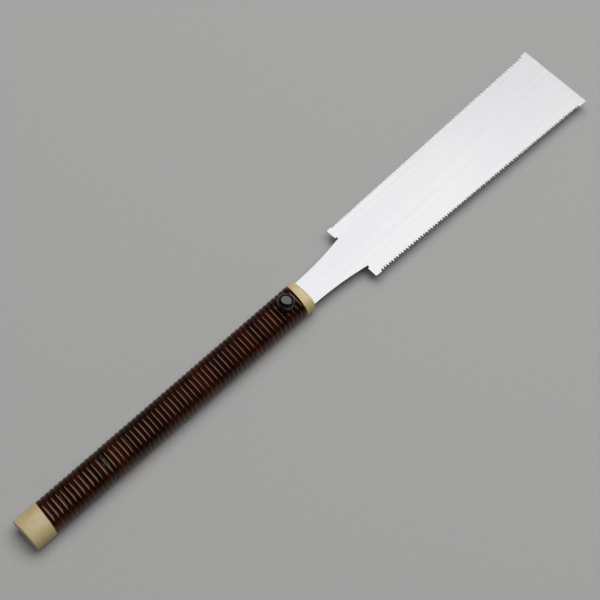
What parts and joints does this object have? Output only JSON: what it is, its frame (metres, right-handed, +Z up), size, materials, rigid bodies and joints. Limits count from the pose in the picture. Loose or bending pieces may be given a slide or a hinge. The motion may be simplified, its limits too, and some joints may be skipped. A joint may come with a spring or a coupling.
{
  "type": "hand saw",
  "caption": "Double-edged pull saw lying flat: long oval cane-bound handle with end cap and ferrule, thin flaring toothed blade, round clamp knob near the ferrule.",
  "frame": {"origin": "under the middle of the whole saw, on the surface that the handle lies on", "axes": "+X along the saw from the butt of the handle to the tip of the blade, +Z up out of the blade's face and towards the clamp knob"},
  "size_m": [0.645, 0.0768, 0.0313],
  "materials": {
    "blade_steel": "bright steel, ground along its length",
    "ivory_resin": "cream moulded resin, satin",
    "lacquered_cane": "dark red-brown lacquered cane, wound in turns",
    "core_wood": "bare hardwood",
    "zinc_steel": "zinc-plated steel",
    "brass": "turned brass",
    "black_resin": "polished black resin"
  },
  "bodies": {
    "handle": {"butt_cap": "ivory_resin", "ferrule": "ivory_resin", "cane_wrap": "lacquered_cane", "handle_core_top": "core_wood", "handle_core_bottom": "core_wood", "holder_plate_top": "zinc_steel", "holder_plate_bottom": "zinc_steel", "holder_spacer_left": "zinc_steel", "holder_spacer_right": "zinc_steel", "holder_rivet_1": "zinc_steel", "holder_rivet_2": "zinc_steel", "holder_rivet_3": "zinc_steel", "holder_rivet_4": "zinc_steel", "holder_screw_left": "zinc_steel", "holder_screw_right": "zinc_steel", "guide_pin": "zinc_steel", "clamp_nut": "zinc_steel", "knob_bush": "brass"},
    "blade": {"saw_blade": "blade_steel"},
    "clamp_lift": {"clamp_washer": "zinc_steel"},
    "clamp_screw": {"clamp_knob": "black_resin", "clamp_stud": "zinc_steel"}
  },
  "joints": [
    {"name": "blade_slide", "type": "slide", "parent": "handle", "child": "blade", "axis": [1, 0, 0], "range_m": [0, 0.048]},
    {"name": "knob_lift", "type": "slide", "parent": "handle", "child": "clamp_lift", "axis": [0, 0, 1], "range_m": [0, 0.0024]},
    {"name": "knob_turn", "type": "hinge", "parent": "clamp_lift", "child": "clamp_screw", "pos_m": [-0.0283, 0, 0.0108], "axis": [0, 0, 1], "range_deg": [0, 1080]}
  ],
  "couplings": [
    {"joint": "knob_turn", "follows": "knob_lift", "rad_per_m": 7854}
  ]
}
